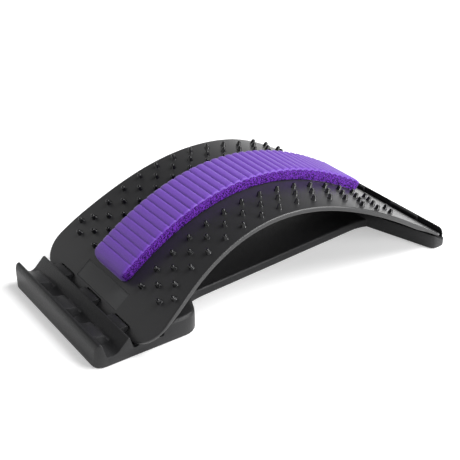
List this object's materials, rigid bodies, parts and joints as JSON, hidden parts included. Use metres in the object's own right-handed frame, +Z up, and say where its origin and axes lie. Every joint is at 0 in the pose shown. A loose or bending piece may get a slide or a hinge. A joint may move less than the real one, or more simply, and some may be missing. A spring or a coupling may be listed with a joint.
{
  "type": "arched back stretcher",
  "caption": "Arched back stretcher: a springy knobbed plate with a ribbed foam strip, bent over a flat base whose grooves set the height of the arch.",
  "frame": {"origin": "middle of the footprint, on the floor", "axes": "+X along the arch from the end with the three level grooves to the end with the single slot, +Y across it, +Z up"},
  "size_m": [0.392, 0.202, 0.1026],
  "materials": {
    "base_plastic": "black moulded plastic with a fine satin grain",
    "plate_plastic": "black moulded plastic with a soft sheen and glossier knobs",
    "adhesive": "thin translucent contact adhesive",
    "foam": "purple closed-cell foam: smooth ribbed skin on top, open cut cells at the sides",
    "pad_rubber": "dull black non-slip rubber"
  },
  "bodies": {
    "base": {"base_frame": "base_plastic", "foot_pad_1": "pad_rubber", "foot_pad_2": "pad_rubber", "foot_pad_3": "pad_rubber", "foot_pad_4": "pad_rubber", "foot_pad_5": "pad_rubber", "foot_pad_6": "pad_rubber"},
    "arch": {"arch_plate": "plate_plastic", "foam_adhesive": "adhesive", "foam_strip": "foam"}
  },
  "joints": [
    {"name": "arch_lift", "type": "hinge", "parent": "base", "child": "arch", "pos_m": [0.19388, 0, 0.01025], "axis": [0, 1, 0], "range_deg": [0, 32]}
  ]
}
